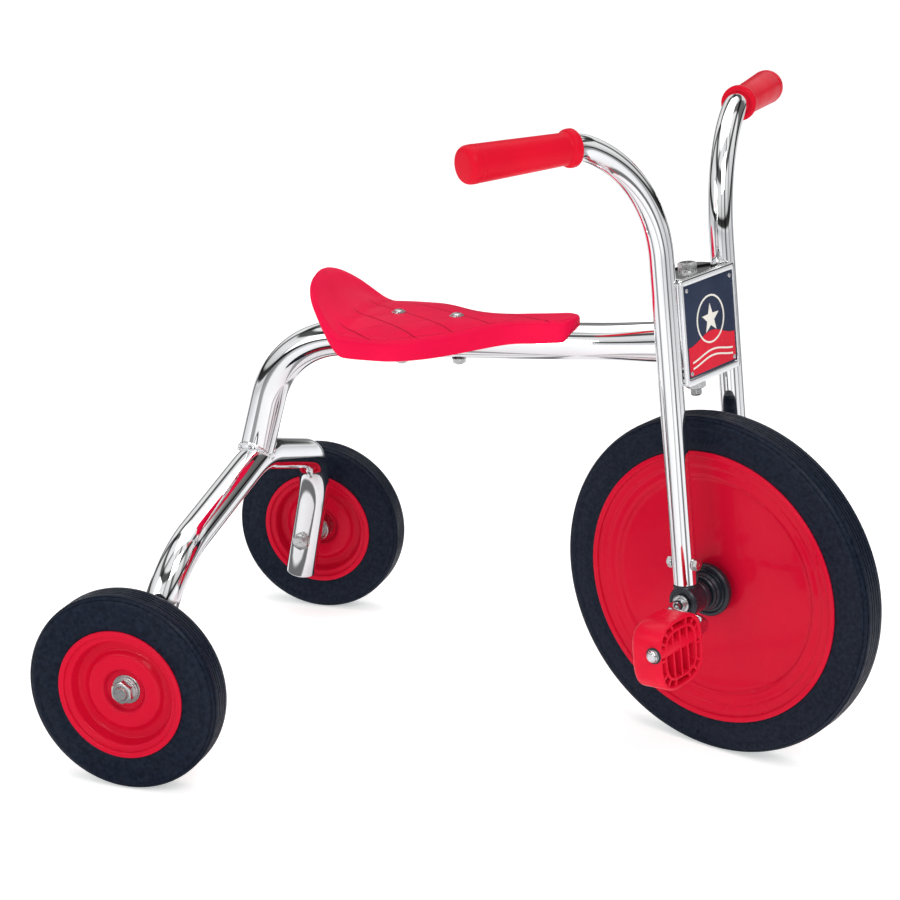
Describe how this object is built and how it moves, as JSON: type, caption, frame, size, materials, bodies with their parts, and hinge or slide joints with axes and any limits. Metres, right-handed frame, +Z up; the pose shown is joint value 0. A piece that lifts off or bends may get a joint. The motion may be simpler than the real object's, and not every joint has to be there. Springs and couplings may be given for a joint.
{
  "type": "children's tricycle",
  "caption": "Children's pedal tricycle: bent-tube frame, moulded saddle, steered fork with one-piece handlebars, direct-drive front wheel and small rear wheels.",
  "frame": {"origin": "on the floor under the middle of the tricycle, with the steering at its rest angle", "axes": "+Z up, +Y from the front wheel towards the rear wheels, +X to the rider's left"},
  "size_m": [0.479, 0.6927, 0.567],
  "materials": {
    "chrome_tube": "polished chrome plate on bent steel tube and pressed steel",
    "zinc_hardware": "bright zinc-plated steel",
    "red_plastic": "moulded red plastic with a fine grain",
    "red_enamel": "glossy red enamel on pressed steel",
    "black_rubber": "matt black solid rubber",
    "black_plastic": "satin black moulding",
    "steel_rod": "plated steel rod",
    "bearing_steel": "plain ground steel",
    "badge_enamel": "dark blue and red enamel on a thin plate"
  },
  "bodies": {
    "frame": {"backbone_tube": "chrome_tube", "head_tube": "chrome_tube", "head_bushes": "black_plastic", "rear_arch_tube": "chrome_tube", "saddle": "red_plastic", "saddle_bolts": "zinc_hardware", "saddle_nuts": "zinc_hardware", "rear_axle_bolt_left": "zinc_hardware", "rear_axle_bolt_right": "zinc_hardware", "rear_axle_spacers": "zinc_hardware", "rear_axle_washers": "zinc_hardware", "rear_axle_nuts": "zinc_hardware"},
    "fork": {"fork_tube_left": "chrome_tube", "fork_tube_right": "chrome_tube", "head_bracket": "chrome_tube", "badge_plate": "badge_enamel", "badge_rivets": "zinc_hardware", "steering_bolt": "zinc_hardware", "steering_washers": "zinc_hardware", "steering_nut": "zinc_hardware", "grip_left": "red_plastic", "grip_right": "red_plastic", "crank_housing_left": "black_plastic", "crank_housing_right": "black_plastic", "housing_bolts": "zinc_hardware", "housing_nuts": "zinc_hardware", "crank_bushes": "bearing_steel"},
    "front_wheel": {"front_tyre": "black_rubber", "front_rim_left": "red_enamel", "front_rim_right": "red_enamel", "front_hub": "zinc_hardware", "hub_flange_left": "black_plastic", "hub_flange_right": "black_plastic", "hub_drive_pin": "zinc_hardware", "crank_rod": "steel_rod", "crank_washers": "zinc_hardware", "pedal_push_nuts": "zinc_hardware"},
    "left_pedal": {"pedal_left": "red_plastic", "pedal_sleeve_left": "black_plastic"},
    "right_pedal": {"pedal_right": "red_plastic", "pedal_sleeve_right": "black_plastic"},
    "left_rear_wheel": {"rear_tyre_left": "black_rubber", "rear_rim_outer_left": "red_enamel", "rear_rim_inner_left": "red_enamel", "rear_hub_left": "zinc_hardware", "rear_bearings_left": "bearing_steel"},
    "right_rear_wheel": {"rear_tyre_right": "black_rubber", "rear_rim_outer_right": "red_enamel", "rear_rim_inner_right": "red_enamel", "rear_hub_right": "zinc_hardware", "rear_bearings_right": "bearing_steel"}
  },
  "joints": [
    {"name": "steering", "type": "hinge", "parent": "frame", "child": "fork", "pos_m": [0, -0.17114, 0.38078], "axis": [0, 0.0941, 0.9956], "range_deg": [-28.4, 71.6]},
    {"name": "front_wheel_spin", "type": "hinge", "parent": "fork", "child": "front_wheel", "pos_m": [-0.00331, -0.20111, 0.15259], "axis": [0.9298, -0.3665, 0.0346], "continuous": true},
    {"name": "left_pedal_spin", "type": "hinge", "parent": "front_wheel", "child": "left_pedal", "pos_m": [0.12831, -0.20785, 0.1569], "axis": [0.9298, -0.3665, 0.0346], "continuous": true},
    {"name": "right_pedal_spin", "type": "hinge", "parent": "front_wheel", "child": "right_pedal", "pos_m": [-0.13494, -0.19438, 0.14828], "axis": [0.9298, -0.3665, 0.0346], "continuous": true},
    {"name": "left_rear_wheel_spin", "type": "hinge", "parent": "frame", "child": "left_rear_wheel", "pos_m": [0.223, 0.25926, 0.0871], "axis": [1, 0, 0], "continuous": true},
    {"name": "right_rear_wheel_spin", "type": "hinge", "parent": "frame", "child": "right_rear_wheel", "pos_m": [-0.223, 0.25926, 0.0871], "axis": [1, 0, 0], "continuous": true}
  ]
}
